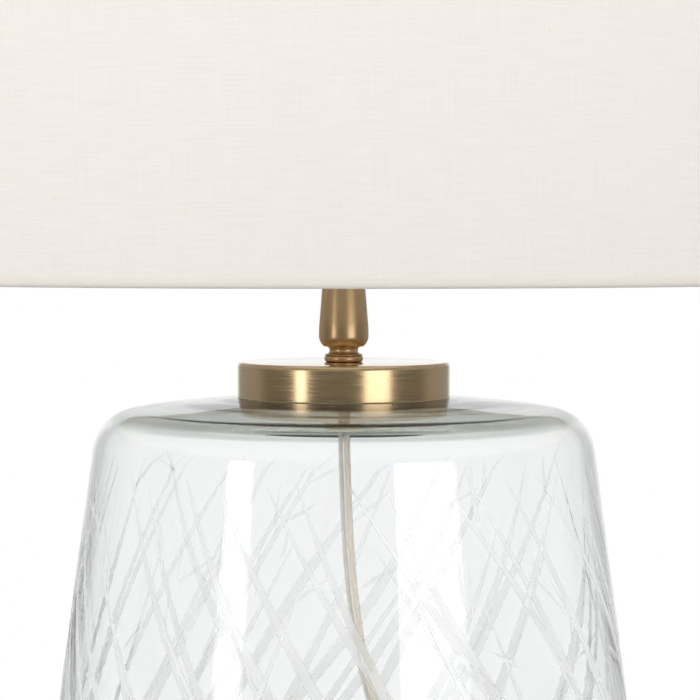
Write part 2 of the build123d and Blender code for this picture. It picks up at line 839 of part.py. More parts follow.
def switch_outline(inset):
    """Plan of the switch body with its tapered noses, drawn inset from its outside."""
    half = switch_length / 2 - inset
    body = switch_body / 2 - inset / 2
    wide = switch_width / 2 - inset
    nose = switch_nose / 2 - inset
    with BuildSketch() as plan:
        with BuildLine():
            Polyline((-half, nose), (-body, wide), (body, wide), (half, nose), (half, -nose),
                     (body, -wide), (-body, -wide), (-half, -nose), close=True)
        make_face()
        corners = plan.vertices().group_by(Axis.Y)
        fillet(corners[0] + corners[-1], switch_corner)
    return plan.sketch


with BuildPart() as switch_base:
    with BuildSketch(switch_floor):
        add(switch_outline(0))
    extrude(amount=switch_mid_z)
    fillet(switch_base.edges().group_by(Axis.Z)[0], switch_edge)
    with BuildSketch(switch_floor.offset(switch_wall)):
        add(switch_outline(switch_wall))
    extrude(amount=switch_mid_z - switch_wall, mode=Mode.SUBTRACT)
    with BuildSketch(switch_floor.offset(switch_wall)):
        with Locations(*switch_screw_spots):
            Circle(switch_boss_r)
    extrude(amount=switch_mid_z - switch_wall)
    with BuildSketch(switch_floor.offset(switch_wall)):
        with GridLocations(0, rocker_width + 2 * post_gap + post_wall, 1, 2):
            Rectangle(post_length, post_wall)
    extrude(amount=pivot_height + post_over_pin - switch_wall)
    with Locations(Plane(origin=(switch_x, switch_y, pivot_height), z_dir=(0, 1, 0))):
        Cylinder(pivot_r + pin_play, switch_width - 2 * switch_wall, mode=Mode.SUBTRACT)
    with Locations(*[switch_floor * Location((x, y, 0), (180, 0, 0)) for x, y in switch_screw_spots]):
        CounterSinkHole(switch_screw_r + slip, switch_screw_head_r + slip, switch_height)
    with BuildSketch(switch_end):
        SlotOverall(cord_width + 2 * slip, cord_thick + 2 * slip)
    extrude(amount=switch_length, both=True, mode=Mode.SUBTRACT)
switch_base.part.label = "switch_base"
export_step(switch_base.part, "parts/switch_base.step")

with BuildPart() as switch_cover:
    with BuildSketch(switch_split):
        add(switch_outline(0))
    extrude(amount=switch_height - switch_mid_z)
    fillet(switch_cover.edges().group_by(Axis.Z)[-1], switch_edge)
    with BuildSketch(switch_split):
        add(switch_outline(switch_wall))
    extrude(amount=switch_height - switch_mid_z - switch_wall, mode=Mode.SUBTRACT)
    with BuildSketch(switch_split):
        with Locations(*switch_screw_spots):
            Circle(switch_boss_r)
            Circle(switch_screw_r + slip, mode=Mode.SUBTRACT)
    extrude(amount=switch_height - switch_mid_z - switch_wall)
    with BuildSketch(switch_split):
        Rectangle(rocker_slot, rocker_slot_width)
    extrude(amount=switch_height, mode=Mode.SUBTRACT)
    with BuildSketch(switch_end):
        SlotOverall(cord_width + 2 * slip, cord_thick + 2 * slip)
    extrude(amount=switch_length, both=True, mode=Mode.SUBTRACT)
switch_cover.part.label = "switch_cover"
export_step(switch_cover.part, "parts/switch_cover.step")

# Rocker with a dished face, pressed down on its +X half
with BuildPart() as switch_rocker:
    dish = radians(rocker_dish)
    rocker_end_rise = rocker_above + rocker_r * tan(dish)
    rocker_tilt = (cos(dish), 0, -sin(dish))
    with BuildSketch(Plane(origin=(switch_x, switch_y, pivot_height), x_dir=rocker_tilt, z_dir=(0, -1, 0))):
        with BuildLine():
            Polyline(
                (-rocker_r, -rocker_below),
                (rocker_r, -rocker_below),
                (rocker_r, rocker_end_rise),
                (0, rocker_above),
                (-rocker_r, rocker_end_rise),
                close=True,
            )
        make_face()
        Circle(rocker_r, mode=Mode.INTERSECT)
        Circle(pivot_r + pin_play, mode=Mode.SUBTRACT)
    extrude(amount=rocker_width / 2, both=True)
switch_rocker.part.label = "switch_rocker"
export_step(switch_rocker.part, "parts/switch_rocker.step")

with BuildPart(Plane(origin=(switch_x, switch_y, pivot_height), z_dir=(0, 1, 0))) as switch_pin:
    Cylinder(pivot_r, rocker_width + 2 * (post_gap + post_wall))
switch_pin.part.label = "switch_pin"
export_step(switch_pin.part, "parts/switch_pin.step")

# Countersunk screws from below
with BuildPart() as switch_screws:
    with BuildSketch(switch_floor.offset(switch_screw_sink)):
        with Locations(*switch_screw_spots):
            Circle(switch_screw_r)
    extrude(amount=switch_height - 2 * switch_wall - switch_screw_sink)
    with BuildSketch(switch_floor.offset(switch_screw_sink)):
        with Locations(*switch_screw_spots):
            Circle(switch_screw_head_r - switch_screw_sink)
    extrude(amount=switch_screw_head_r - switch_screw_r, taper=45)
switch_screws.part.label = "switch_screws"
export_step(switch_screws.part, "parts/switch_screws.step")

# Flex from the switch to the coil
coil_z = tie_thick + tie_level_gap + cord_thick / 2
lead_start = Vector(switch_x - switch_length / 2 + cord_in_gland, switch_y, switch_mid_z)
lead_route = [
    lead_start,
    lead_start + Vector(-14, 0, 0),
    lead_start + Vector(-38, 0, coil_z - switch_mid_z),
    lead_start + Vector(-60, 0, coil_z - switch_mid_z),
]
lead_radii = bend_radii(lead_route)
with BuildPart() as flex_lead:
    with BuildLine() as lead_path:
        FilletPolyline(*lead_route, radius=lead_radii)
    with BuildSketch(section_plane(lead_route, (0, 1, 0))):
        SlotOverall(cord_width, cord_thick)
    sweep()
flex_lead.part.label = "flex_lead"
export_step(flex_lead.part, "parts/flex_lead.step")
report_cord("flex_lead", flex_lead, lead_path, lead_radii)

# Coil: loops that spiral in, climb to the second layer and spiral out again
coil_start = lead_route[-1]
coil_centre = coil_start + Vector(-cord_width, -coil_r, 0)
coil_turns = 2 * layer_turns
coil_roll = degrees(layer_step / coil_inner_r) / 2   # the climb rolls the flat cord from -roll to +roll


def coil_climbed(turn):
    """Share of the climb to the second layer after a number of turns from the coil's start."""
    share = min(max((turn - layer_turns) / climb_turns + 0.5, 0), 1)
    return (1 - cos(pi * share)) / 2


def coil_point(turn):
    """Centre of the cord after a number of turns from the coil's start."""
    inward = 1 - abs(turn / layer_turns - 1)
    radius = coil_r - (coil_r - coil_inner_r) * inward
    angle = 2 * pi * turn + pi / 2
    return coil_centre + Vector(radius * cos(angle), radius * sin(angle), layer_step * coil_climbed(turn))


def coil_heading(turn):
    """Direction of the cord there: straight along -X at both ends."""
    if turn in (0, coil_turns):
        return Vector(-1, 0, 0)
    step = 0.001
    return (coil_point(turn + step) - coil_point(turn - step)).normalized()


def biarc(start, start_heading, end, end_heading):
    """Two arcs that leave start along its heading and reach end along its own."""
    chord = end - start
    lean = chord.dot(start_heading + end_heading)
    spread = 2 * (1 - start_heading.dot(end_heading))
    reach = (sqrt(lean**2 + spread * chord.dot(chord)) - lean) / spread
    knee_in = start + start_heading * reach
    knee_out = end - end_heading * reach
    middle = (knee_in + knee_out) / 2
    TangentArc(start, middle, tangent=start_heading)
    TangentArc(middle, end, tangent=knee_out - knee_in)


with BuildPart() as flex_coil:
    with BuildLine() as coil_path:
        Line(coil_start, coil_point(0))
        for quarter in range(round(4 * coil_turns)):
            turn = quarter / 4
            next_turn = (quarter + 1) / 4
            biarc(coil_point(turn), coil_heading(turn), coil_point(next_turn), coil_heading(next_turn))
        coil_end = Line(coil_point(coil_turns), coil_point(coil_turns) + Vector(-cord_width, 0, 0)) @ 1
    with BuildSketch(Plane(origin=coil_start, x_dir=(0, 1, 0), z_dir=(-1, 0, 0))):
        SlotOverall(cord_width, cord_thick, rotation=-coil_roll)
    sweep()
flex_coil.part.label = "flex_coil"
export_step(flex_coil.part, "parts/flex_coil.step")
report_cord("flex_coil", flex_coil, coil_path, [coil_inner_r, coil_r])


def coil_self_gap():
    """Least gap between the turns, measured between points on the two round edges of the cord."""
    samples_a_turn = 40
    across = (cord_width - cord_thick) / 2
    edges = []
    for sample in range(round(samples_a_turn * coil_turns) + 1):
        turn = sample / samples_a_turn
        point = coil_point(turn)
        roll = radians(coil_roll * (2 * coil_climbed(turn) - 1))
        outward = Vector(point.X - coil_centre.X, point.Y - coil_centre.Y, 0).normalized()
        flat = outward * across * cos(roll) + Vector(0, 0, across * sin(roll))
        edges.append([tuple(point + flat), tuple(point - flat)])
    nearest = coil_r
    for index, here in enumerate(edges):
        for there in edges[index + samples_a_turn // 2:]:
            nearest = min(nearest, min(dist(a, b) for a in here for b in there))
    return nearest - cord_thick


print(f"flex_coil: least gap to itself {coil_self_gap():.2f}")

# Tie round the coil, on the side that faces the vessel
with BuildPart() as coil_tie:
    bundle_mid_z = coil_z + layer_step / 2
    bundle_width = coil_r - coil_inner_r + cord_width + 2 * tie_side_gap
    bundle_height = layer_step + cord_thick + 2 * tie_level_gap
    bundle_mid = Vector(coil_centre.X, coil_centre.Y - (coil_r + coil_inner_r) / 2, bundle_mid_z)
    with BuildSketch(Plane(origin=bundle_mid, x_dir=(0, 1, 0), z_dir=(1, 0, 0))):
        RectangleRounded(bundle_width + 2 * tie_thick, bundle_height + 2 * tie_thick, 2 * tie_thick)
        RectangleRounded(bundle_width, bundle_height, tie_thick, mode=Mode.SUBTRACT)
    extrude(amount=tie_width / 2, both=True)
coil_tie.part.label = "coil_tie"
export_step(coil_tie.part, "parts/coil_tie.step")

# Flex from the coil down to the plug
plug_z = plug_height / 2
end_route = [
    coil_end,
    coil_end + Vector(-12, 0, 0),
    coil_end + Vector(-28, 0, plug_z - coil_end.Z),
    coil_end + Vector(-41, 0, plug_z - coil_end.Z),
]
end_radii = bend_radii(end_route)
with BuildPart() as flex_end:
    with BuildLine() as end_path:
        FilletPolyline(*end_route, radius=end_radii)
    with BuildSketch(section_plane(end_route, (0, 1, 0))):
        SlotOverall(cord_width, cord_thick)
    sweep()
flex_end.part.label = "flex_end"
export_step(flex_end.part, "parts/flex_end.step")
report_cord("flex_end", flex_end, end_path, end_radii)

# Plug: flat tapered body with its moulded strain relief, its pins towards -X
relief_tip = end_route[-1] + Vector(cord_in_gland, 0, 0)
relief_root = relief_tip - Vector(plug_relief, 0, 0)
plug_front_x = relief_root.X - plug_length
with BuildPart() as plug_body:
    with BuildSketch(Plane(origin=(plug_front_x, relief_root.Y, 0))) as plug_plan:
        with BuildLine():
            Polyline(
                (0, plug_front / 2),
                (plug_widest, plug_width / 2),
                (2 * plug_widest, plug_width / 2),
                (plug_length, plug_rear / 2),
                (plug_length, -plug_rear / 2),
                (2 * plug_widest, -plug_width / 2),
                (plug_widest, -plug_width / 2),
                (0, -plug_front / 2),
                close=True,
            )
        make_face()
        sides = plug_plan.vertices().group_by(Axis.Y)
        fillet(sides[0] + sides[-1], plug_widest / 2)
    extrude(amount=plug_height)
    fillet(plug_body.edges().group_by(Axis.Z)[0] + plug_body.edges().group_by(Axis.Z)[-1], plug_edge)
    for spot, wide, thick in (
        (relief_root - Vector(plug_edge, 0, 0), plug_relief_root, plug_relief_root_thick),
        (relief_tip, plug_relief_tip, plug_relief_tip_thick),
    ):
        with BuildSketch(Plane(origin=spot, x_dir=(0, 1, 0), z_dir=(1, 0, 0))):
            SlotOverall(wide, thick)
    loft()
    with BuildSketch(Plane(origin=relief_tip, x_dir=(0, 1, 0), z_dir=(-1, 0, 0))):
        SlotOverall(cord_width + 2 * slip, cord_thick + 2 * slip)
    extrude(amount=cord_in_gland, mode=Mode.SUBTRACT)
plug_body.part.label = "plug_body"
export_step(plug_body.part, "parts/plug_body.step")

with BuildPart() as plug_pins:
    with BuildSketch(Plane(origin=(plug_front_x, relief_root.Y, plug_z), x_dir=(0, 1, 0), z_dir=(-1, 0, 0))):
        with GridLocations(plug_pin_spacing, 0, 2, 1):
            Circle(plug_pin_r)
    extrude(amount=plug_pin_length)
    fillet(plug_pins.edges().group_by(Axis.X)[0], plug_pin_round)
plug_pins.part.label = "plug_pins"
export_step(plug_pins.part, "parts/plug_pins.step")

cords = [tail_path, lead_path, coil_path, end_path]
print(f"flex outside the vessel: {sum(path.wire().length for path in cords) + switch_length:.0f}")
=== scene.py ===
import json
import random
from math import cos, pi, radians, sin, sqrt, tan

import bmesh
import bpy
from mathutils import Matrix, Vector, noise


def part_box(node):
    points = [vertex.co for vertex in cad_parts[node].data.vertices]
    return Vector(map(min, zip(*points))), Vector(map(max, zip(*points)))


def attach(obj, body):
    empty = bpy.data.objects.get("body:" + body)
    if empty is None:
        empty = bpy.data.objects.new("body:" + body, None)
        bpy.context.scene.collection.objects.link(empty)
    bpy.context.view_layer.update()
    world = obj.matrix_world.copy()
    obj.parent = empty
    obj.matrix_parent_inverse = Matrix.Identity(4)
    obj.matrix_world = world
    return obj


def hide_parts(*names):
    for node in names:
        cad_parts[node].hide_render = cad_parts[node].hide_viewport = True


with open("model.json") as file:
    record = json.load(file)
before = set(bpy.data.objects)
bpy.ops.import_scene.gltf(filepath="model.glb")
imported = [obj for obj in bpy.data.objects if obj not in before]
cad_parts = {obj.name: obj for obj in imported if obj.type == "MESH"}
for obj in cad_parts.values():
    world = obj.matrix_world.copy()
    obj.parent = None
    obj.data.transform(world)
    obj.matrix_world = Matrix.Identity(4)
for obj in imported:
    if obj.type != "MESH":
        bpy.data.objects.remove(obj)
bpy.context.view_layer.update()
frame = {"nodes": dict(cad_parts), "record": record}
scene = bpy.context.scene
scene.view_settings.view_transform = "Standard"

# Sizes of the vessel, in metres
MM = 0.001
SLIP = 0.1 * MM
FOOT_R = 133.9 * MM
SHOULDER_R = 98.2 * MM
SHOULDER_DROP = 6.6 * MM
DOME_CURVE = 600 * MM
INNER_DOME_CURVE = 470 * MM
SHOULDER_FILLET = 18 * MM
FOOT_FILLET = 16 * MM
WALL = 4 * MM
DOME_WALL = 3.3 * MM
MOUTH_WALL = 3.7 * MM
GLASS_FLOOR = 8 * MM
MOUTH_R = 32 * MM
COLLAR_R = 37 * MM
COLLAR_ROUND = 1.5 * MM
PUNT_R = 76 * MM
PUNT_RISE = 4 * MM

# Sizes of the cord hole and its grommet
EXIT_AZIMUTH = radians(50)
EXIT_HEIGHT = 30 * MM
GROMMET_INNER = 6.6 * MM
GROMMET_OUTER = 17.2 * MM
GROMMET_RUN = 16 * MM

# Sizes of the cap
CAP_WALL = 1.2 * MM
CAP_EDGE = 1.8 * MM
CAP_RIM_ROUND = 0.3 * MM
TUBE_HOLE_R = 5.1 * MM

# Sizes of the linen cover
FABRIC = 0.6 * MM
HEM_TUCK = 11 * MM
HEM_WIDTH = 5 * MM
HEM_ROLL = 2.1 * MM

# Sizes of the flex and its coil
CORD_WIDTH = 5.4 * MM
CORD_THICK = 2.7 * MM
CORE_OFFSET = (CORD_WIDTH - CORD_THICK) / 2
CORE_R = 0.85 * MM
SHEATH_ARC = radians(138)
COIL_R = 42.5 * MM
COIL_INNER_R = 21.7 * MM
LAYER_TURNS = 3.5
LAYER_STEP = 3.5 * MM
CLIMB_TURNS = 0.5

# Steps of curves and turned pieces
POINTS_A_TURN = 24
DOME_STEPS = 54
PUNT_STEPS = 6
VESSEL_STEPS = 256
CAP_STEPS = 192
RING_STEPS = 96
NECK_STEPS = 128
LINEN_STEPS = 240

UP = Vector((0, 0, 1))
SHARP_ANGLE = radians(35)
MERGE = 0.001 * MM

glass_low, glass_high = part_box("glass_base")
cap_low, cap_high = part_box("brass_cap")
ring_low, ring_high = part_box("seat_ring")
neck_low, neck_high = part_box("turned_neck")
linen_low, linen_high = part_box("shade_fabric")
FOOT_Z = glass_low[2]
COLLAR_TOP = glass_high[2]
CAP_RIM = cap_low[2]
CAP_TOP = cap_high[2]
CAP_R = cap_high[0]
DRUM_R = linen_high[0]
SHOULDER_Z = CAP_RIM - SHOULDER_DROP
WALL_SLOPE = (FOOT_R - SHOULDER_R) / (SHOULDER_Z - FOOT_Z)
WALL_ACROSS = WALL * sqrt(1 + WALL_SLOPE**2)


def wall_r(z):
    """Outer radius of the vessel's straight wall at height z."""
    return FOOT_R - (z - FOOT_Z) * WALL_SLOPE


def dome_z(r):
    """Height of the dome's outside at a radius."""
    return CAP_RIM + (CAP_R**2 - r**2) / (2 * DOME_CURVE)


COLLAR_ROOT = dome_z(COLLAR_R) - SLIP


class Wire:
    """A node's output that can stand in Python sums."""

    def __init__(self, finish, socket):
        self.finish = finish
        self.socket = socket

    def __add__(self, other):
        return self.finish.maths("ADD", self, other)

    def __sub__(self, other):
        return self.finish.maths("SUBTRACT", self, other)

    def __rsub__(self, other):
        return self.finish.maths("SUBTRACT", other, self)

    def __mul__(self, other):
        return self.finish.maths("MULTIPLY", self, other)

    def __truediv__(self, other):
        return self.finish.maths("DIVIDE", self, other)

    __radd__ = __add__
    __rmul__ = __mul__


class Finish:
    """A node tree of a material or of the world, to which nodes are added one call at a time."""

    # Sockets of the mix node when it mixes colours
    MIX_FACTOR, MIX_FIRST, MIX_SECOND, MIX_RESULT = 0, 6, 7, 2

    def __init__(self, owner):
        owner.use_nodes = True
        self.owner = owner
        self.tree = owner.node_tree

    def add(self, kind, settings=None, sockets=None, out=0):
        """Adds a node, sets it, fills its sockets with values or wires, and gives one of its outputs."""
        node = self.tree.nodes.new(kind)
        for name, value in (settings or {}).items():
            setattr(node, name, value)
        self.fill(node, sockets or {})
        return Wire(self, node.outputs[out])

    def fill(self, node, sockets):
        """Gives a node's sockets their values or links."""
        for name, value in sockets.items():
            if isinstance(value, Wire):
                self.tree.links.new(value.socket, node.inputs[name])
            else:
                node.inputs[name].default_value = value

    def maths(self, operation, *values):
        """A sum or function of values and wires."""
        return self.add("ShaderNodeMath", {"operation": operation}, dict(enumerate(values)))

    def axes(self, source="Object"):
        """The three axes of the object's, the UV map's or the world's coordinates."""
        spot = self.add("ShaderNodeTexCoord", out=source)
        split = self.add("ShaderNodeSeparateXYZ", None, {"Vector": spot})
        return [Wire(self, socket) for socket in split.socket.node.outputs]

    def ray(self, kind):
        """What the light path knows of a ray."""
        return self.add("ShaderNodeLightPath", out=kind)

    def grain(self, scale, detail, stretch=(1, 1, 1), source="Object", rough=0.55):
        """Noise from 0 to 1, with its scale in features a metre."""
        spot = self.add("ShaderNodeTexCoord", out=source)
        spot = self.add("ShaderNodeMapping", None, {"Vector": spot, "Scale": stretch})
        return self.add("ShaderNodeTexNoise", None,
                        {"Vector": spot, "Scale": scale, "Detail": detail, "Roughness": rough}, "Fac")

    def tint(self, factor, first, second):
        """A colour between two colours, of which the first may be a wire."""
        first = first if isinstance(first, Wire) else (*first, 1)
        sockets = {self.MIX_FACTOR: factor, self.MIX_FIRST: first, self.MIX_SECOND: (*second, 1)}
        return self.add("ShaderNodeMix", {"data_type": "RGBA"}, sockets, self.MIX_RESULT)

    def between(self, value, low, high):
        """A value's rise from 0 at low to 1 at high, smoothed."""
        return self.add("ShaderNodeMapRange", {"interpolation_type": "SMOOTHSTEP"},
                        {"Value": value, "From Min": low, "From Max": high})

    def bump(self, height, depth, strength):
        """A surface normal for a height from 0 to 1, with its depth in metres."""
        return self.add("ShaderNodeBump", None, {"Height": height, "Distance": depth, "Strength": strength})

    def surface(self, **sockets):
        """Sets the Principled shader's sockets, with underscores for spaces, and gives the material."""
        shader = self.tree.nodes["Principled BSDF"]
        self.fill(shader, {name.replace("_", " "): value for name, value in sockets.items()})
        return self.owner


def finish_named(name):
    """The finish of a new material."""
    return Finish(bpy.data.materials.new(name))


# Outlines, as points of radius and height
def rounded(corners, steps=8):
    """Points of an outline whose corners, given as radius, height and rounding, become arcs."""
    points = []
    for index, (r, z, rounding) in enumerate(corners):
        corner = Vector((r, z))
        if rounding == 0:
            points.append(corner)
            continue
        back = (Vector(corners[index - 1][:2]) - corner).normalized()
        onward = (Vector(corners[(index + 1) % len(corners)][:2]) - corner).normalized()
        half = back.angle(onward) / 2
        middle = corner + (back + onward).normalized() * (rounding / sin(half))
        start = corner + back * (rounding / tan(half)) - middle
        end = corner + onward * (rounding / tan(half)) - middle
        points += [middle + start.slerp(end, step / steps) * rounding for step in range(steps + 1)]
    return points


def crown(start, end, radius, steps):
    """Corners of a shallow arc from start to end that bulges upwards."""
    start = Vector(start)
    end = Vector(end)
    chord = end - start
    side = Vector((chord.y, -chord.x)).normalized()
    if side.y > 0:
        side = -side
    middle = (start + end) / 2 + side * sqrt(radius**2 - chord.length_squared / 4)
    arc = [middle + (start - middle).slerp(end - middle, step / steps) * radius for step in range(steps + 1)]
    return [(point.x, point.y, 0) for point in arc]


def bead(start, peak, end, steps=10):
    """Corners of a round bead or hollow through three points, without its first point."""
    start, peak, end = Vector(start), Vector(peak), Vector(end)
    first, second = peak - start, end - start
    cross = 2 * first.cross(second)
    middle = start + Vector((
        (second.y * first.length_squared - first.y * second.length_squared) / cross,
        (first.x * second.length_squared - second.x * first.length_squared) / cross,
    ))
    radius = (start - middle).length
    halves = [(start - middle, peak - middle), (peak - middle, end - middle)]
    arc = [middle + a.slerp(b, step / steps) * radius for a, b in halves for step in range(1, steps + 1)]
    return [(point.x, point.y, 0) for point in arc]


def as_object(bm, name, material):
    """Makes a finished bmesh an object with smooth faces and its sharp edges kept."""
    mesh = bpy.data.meshes.new(name)
    bm.to_mesh(mesh)
    bm.free()
    mesh.shade_smooth()
    mesh.set_sharp_from_angle(angle=SHARP_ANGLE)
    mesh.materials.append(material)
    piece = bpy.data.objects.new(name, mesh)
    scene.collection.objects.link(piece)
    return piece


def spun(name, outline, material, steps, closed=True):
    """Turns an outline of radius and height round the lamp's axis."""
    bm = bmesh.new()
    line = [bm.verts.new((r, 0, z)) for r, z in outline]
    edges = [bm.edges.new(pair) for pair in zip(line, line[1:])]
    if closed:
        edges.append(bm.edges.new((line[-1], line[0])))
    bmesh.ops.spin(bm, geom=line + edges, axis=UP, cent=(0, 0, 0), angle=2 * pi, steps=steps, use_merge=True)
    bmesh.ops.remove_doubles(bm, verts=bm.verts, dist=MERGE)
    bmesh.ops.recalc_face_normals(bm, faces=bm.faces)
    return as_object(bm, name, material)


def dress(piece, body, slot, *replaced):
    """Hangs a new piece on its body, in the place of the nodes that it stands for."""
    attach(piece, body)
    if replaced:
        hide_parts(*replaced)
    return piece


# Camera at the photograph's distance and height
FOCAL_PX = 2500
FRAME_PX = 700
SENSOR = 36
CAMERA = Vector((0.0025, -1.0, 0.3307))
CAMERA_DIP = radians(2.377)

camera_data = bpy.data.cameras.new("camera")
camera_data.sensor_width = SENSOR
camera_data.lens = SENSOR * FOCAL_PX / FRAME_PX
camera = bpy.data.objects.new("camera", camera_data)
camera.location = CAMERA
camera.rotation_euler = (pi / 2 - CAMERA_DIP, 0, 0)
scene.collection.objects.link(camera)
scene.camera = camera

# Routes of the flex, with their points in millimetres
LINE_Y = 243.2
TABLE_Z = 1.4
SWITCH_Z = 8
COIL_Z = 2.65
COIL_TOP_Z = 6.15
PLUG_Z = 7
EXIT_OUT = Vector((cos(EXIT_AZIMUTH), sin(EXIT_AZIMUTH), 0))
EXIT_ACROSS = Vector((-EXIT_OUT.y, EXIT_OUT.x, 0))
EXIT_NORMAL = (EXIT_OUT + Vector((0, 0, WALL_SLOPE))).normalized()


def around(radius, z):
    """Point at a radius and height in the upright plane through the cord hole."""
    return (EXIT_OUT * radius + UP * z) * MM


def on_table(x, y):
    """Point of the flex where it lies on the table."""
    return Vector((x, y, TABLE_Z)) * MM


def in_line(x, z):
    """Point on the straight line through the switch and the plug."""
    return Vector((x, LINE_Y, z)) * MM


exit_point = EXIT_OUT * wall_r(EXIT_HEIGHT) + UP * EXIT_HEIGHT
grommet_point = exit_point - EXIT_NORMAL * GROMMET_INNER
inner_route = [
    around(0, 340.5), around(0, 258), around(1.2, 226), around(4, 196), around(9.5, 168), around(18, 144),
    around(30, 117), around(43.5, 90), around(58, 64), around(73, 44), around(89.5, 31.8),
    grommet_point - EXIT_NORMAL * GROMMET_RUN, grommet_point,
]
tail_route = [
    grommet_point, exit_point + EXIT_NORMAL * (GROMMET_OUTER + 2 * CORD_WIDTH), around(172.5, 29.2),
    around(185.4, 19.8), around(196.4, 11.2), around(209.2, 5.5), around(222.9, 2.6), around(237.4, TABLE_Z),
    on_table(158.2, 195.8), on_table(158.2, 210.8), on_table(152.6, 224.7), on_table(142.2, 235.5),
    on_table(128.5, 241.6), in_line(113.6, TABLE_Z), in_line(98.8, 3.7), in_line(82, SWITCH_Z),
    in_line(66, SWITCH_Z),
]
lead_route = [in_line(-10, SWITCH_Z), in_line(-24, SWITCH_Z), in_line(-48, COIL_Z), in_line(-70, COIL_Z)]
coil_centre = lead_route[-1] - Vector((CORD_WIDTH, COIL_R, 0))


def coil_point(turn):
    """Centre of the flex after a number of turns: it spirals in, climbs a layer and spirals out again."""
    inward = 1 - abs(turn / LAYER_TURNS - 1)
    radius = COIL_R - (COIL_R - COIL_INNER_R) * inward
    climb = min(max((turn - LAYER_TURNS) / CLIMB_TURNS + 0.5, 0), 1)
    angle = 2 * pi * turn + pi / 2
    level = LAYER_STEP * (1 - cos(pi * climb)) / 2
    return coil_centre + Vector((radius * cos(angle), radius * sin(angle), level))


coil_steps = round(2 * LAYER_TURNS * POINTS_A_TURN)
coil_route = [coil_point(step / POINTS_A_TURN) for step in range(coil_steps + 1)]
end_route = [
    in_line(-80.8, COIL_TOP_Z), in_line(-92.8, COIL_TOP_Z), in_line(-108.8, PLUG_Z), in_line(-121.8, PLUG_Z),
]
put_away_route = lead_route + coil_route + end_route


def smooth_line(route, steps):
    """Points of the smooth curve that a route's points control."""
    curve = bpy.data.curves.new("route", "CURVE")
    curve.dimensions = "3D"
    curve.resolution_u = steps
    spline = curve.splines.new("NURBS")
    spline.points.add(len(route) - 1)
    for point, place in zip(spline.points, route):
        point.co = (*place, 1)
    spline.order_u = 3
    spline.use_endpoint_u = True
    holder = bpy.data.objects.new("route", curve)
    scene.collection.objects.link(holder)
    bpy.context.view_layer.update()
    mesh = bpy.data.meshes.new_from_object(holder.evaluated_get(bpy.context.evaluated_depsgraph_get()))
    points = [vertex.co.copy() for vertex in mesh.vertices]
    bpy.data.objects.remove(holder)
    bpy.data.curves.remove(curve)
    bpy.data.meshes.remove(mesh)
    return points


def headings(points):
    """Direction of a line at each of its points."""
    ahead = points[1:] + points[-1:]
    behind = points[:1] + points[:-1]
    return [(after - before).normalized() for before, after in zip(behind, ahead)]


def flat_sides(points, held):
    """Direction across the flat flex at each point: level, or as held where the flex hangs upright."""
    return [held or UP.cross(way).normalized() for way in headings(points)]


def swept(name, points, sides, outline, material):
    """Draws an outline, given across and along the flat flex's thickness, along a line."""
    bm = bmesh.new()
    coordinates = bm.loops.layers.uv.new("UVMap")
    rows = []
    for point, side, way in zip(points, sides, headings(points)):
        top = way.cross(side).normalized()
        rows.append([bm.verts.new(point + side * x + top * y) for x, y in outline])
    along = 0
    count = len(outline)
    for index, (row, following) in enumerate(zip(rows, rows[1:])):
        ahead = along + (points[index + 1] - points[index]).length
        for corner in range(count):
            after = (corner + 1) % count
            face = bm.faces.new((row[corner], row[after], following[after], following[corner]))
            spots = ((corner, along), (corner + 1, along), (corner + 1, ahead), (corner, ahead))
            for loop, (round_share, length) in zip(face.loops, spots):
                loop[coordinates].uv = (round_share / count, length)
        along = ahead
    bm.faces.new(rows[0])
    bm.faces.new(rows[-1])
    bmesh.ops.recalc_face_normals(bm, faces=bm.faces)
    return as_object(bm, name, material)


def twin_outline(steps=9):
    """Outline of the clear twin flex: two round cores joined by a web."""
    radius = CORD_THICK / 2
    points = []
    for side in (1, -1):
        for step in range(steps + 1):
            angle = SHEATH_ARC * (2 * step / steps - 1)
            points.append((side * (CORE_OFFSET + radius * cos(angle)), side * radius * sin(angle)))
    return points


def core_outline(centre, steps=10):
    """Outline of one conductor beside the flex's middle."""
    angles = [2 * pi * step / steps for step in range(steps)]
    return [(centre + CORE_R * cos(angle), CORE_R * sin(angle)) for angle in angles]


def clear_sheath():
    """Clear soft plastic round the conductors."""
    finish = finish_named("clear_sheath")
    smears = finish.grain(scale=300, detail=2, stretch=(1, 1, 0.2))
    return finish.surface(Base_Color=(0.97, 0.95, 0.92, 1), Roughness=0.06 + 0.12 * smears,
                          Transmission_Weight=1.0, IOR=1.38)


STRANDS = 9
TWIST = 420


def stranded(name, bright, dark):
    """Fine strands twisted into one conductor, with their twist in strands a metre, and painted shade
    darkening the grooves between the strands.
    """
    finish = finish_named(name)
    round_share, length, _ = finish.axes("UV")
    strand = finish.maths("PINGPONG", round_share * STRANDS + length * TWIST, 0.5) * 2
    # Painted shade: each strand's colour goes dark towards the grooves between strands
    return finish.surface(Base_Color=finish.tint(strand, dark, bright), Roughness=0.45,
                          Normal=finish.bump(strand, depth=0.1 * MM, strength=0.6))


sheath = clear_sheath()
tinned = stranded("tinned_strands", (0.90, 0.88, 0.85), (0.74, 0.72, 0.69))
copper = stranded("copper_strands", (0.95, 0.89, 0.82), (0.84, 0.75, 0.65))
CORES = (("copper_core", -CORE_OFFSET, copper), ("tinned_core", CORE_OFFSET, tinned))


def flex(name, route, steps, held, replaced):
    """One stretch of the flex: its clear sheath, and its two conductors inside."""
    points = smooth_line(route, steps)
    sides = flat_sides(points, held)
    outer = dress(swept(name, points, sides, twin_outline(), sheath), "base", "clear_flex", *replaced)
    cores = []
    for label, place, strands in CORES:
        core = swept(f"{name}_{label}", points, sides, core_outline(place), strands)
        cores.append(dress(core, "base", "clear_flex"))
    return outer, cores, points


